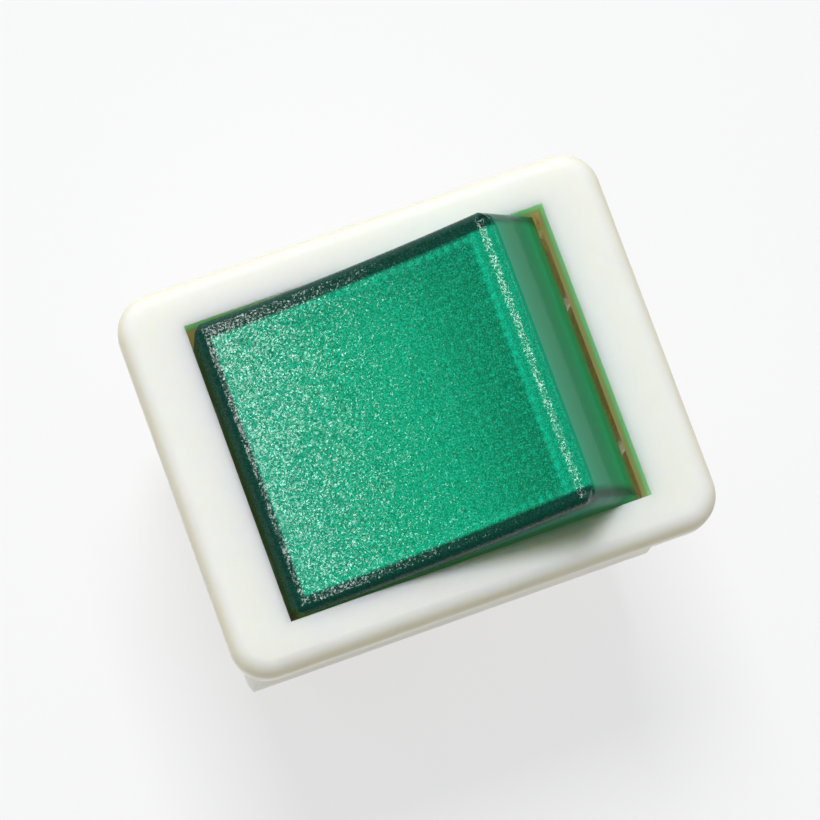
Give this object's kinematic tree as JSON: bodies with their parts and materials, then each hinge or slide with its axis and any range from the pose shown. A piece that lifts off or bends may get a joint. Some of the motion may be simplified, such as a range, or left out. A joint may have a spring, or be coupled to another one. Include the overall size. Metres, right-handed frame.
{
  "type": "panel rocker switch",
  "caption": "Illuminated two-pole rocker switch with a snap-in rectangular bezel and quick-connect blades, switching two circuits by hand.",
  "frame": {"origin": "centre of the bezel's underside, in the plane of the panel's front face", "axes": "+Z out of the panel, +X towards the raised end of the rocker, +Y across the bezel"},
  "size_m": [0.031, 0.0246, 0.0372],
  "materials": {
    "housing_nylon": "ivory nylon, fine eroded texture",
    "lens_green": "translucent green polycarbonate, fine sparkle texture on the face",
    "carrier_white": "natural nylon",
    "plunger_acetal": "natural acetal",
    "spring_steel": "drawn spring wire",
    "arm_copper": "stamped copper alloy",
    "contact_silver": "silver alloy rivet",
    "terminal_brass": "stamped brass",
    "lamp_glass": "clear glass",
    "lead_wire": "tinned wire",
    "resistor_body": "lacquered"
  },
  "bodies": {
    "base": {"housing": "housing_nylon", "common_terminal_a": "terminal_brass", "common_terminal_b": "terminal_brass", "load_terminal_a": "terminal_brass", "load_terminal_b": "terminal_brass", "fixed_contact_a": "contact_silver", "fixed_contact_b": "contact_silver", "neon_lamp": "lamp_glass", "lamp_lead": "lead_wire", "link_lead": "lead_wire", "lamp_resistor": "resistor_body", "resistor_lead": "lead_wire"},
    "rocker": {"rocker_lens": "lens_green", "rocker_carrier": "carrier_white", "plunger_spring_a": "spring_steel", "plunger_spring_b": "spring_steel"},
    "plunger_a": {"plunger_a": "plunger_acetal"},
    "plunger_b": {"plunger_b": "plunger_acetal"},
    "arm_a": {"contact_arm_a": "arm_copper", "moving_contact_a": "contact_silver"},
    "arm_b": {"contact_arm_b": "arm_copper", "moving_contact_b": "contact_silver"}
  },
  "joints": [
    {"name": "rocker_tilt", "type": "hinge", "parent": "base", "child": "rocker", "pos_m": [0, 0, -0.0021], "axis": [0, 1, 0], "range_deg": [0, 31]},
    {"name": "plunger_a_slide", "type": "slide", "parent": "rocker", "child": "plunger_a", "axis": [-0.2672, 0, 0.9636], "range_m": [0, 0.0006], "stiffness_N_per_m": 600, "springref_m": -0.002, "deforming": ["plunger_spring_a"]},
    {"name": "plunger_b_slide", "type": "slide", "parent": "rocker", "child": "plunger_b", "axis": [-0.2672, 0, 0.9636], "range_m": [0, 0.0006], "stiffness_N_per_m": 600, "springref_m": -0.002, "deforming": ["plunger_spring_b"]},
    {"name": "arm_a_tilt", "type": "hinge", "parent": "base", "child": "arm_a", "pos_m": [0, 0.00535, -0.01522], "axis": [0, 1, 0], "range_deg": [-23, 0]},
    {"name": "arm_b_tilt", "type": "hinge", "parent": "base", "child": "arm_b", "pos_m": [0, -0.00535, -0.01522], "axis": [0, 1, 0], "range_deg": [-23, 0]}
  ],
  "couplings": [
    {"joint": "arm_a_tilt", "follows": "rocker_tilt", "ratio": -0.74194},
    {"joint": "arm_b_tilt", "follows": "rocker_tilt", "ratio": -0.74194}
  ]
}
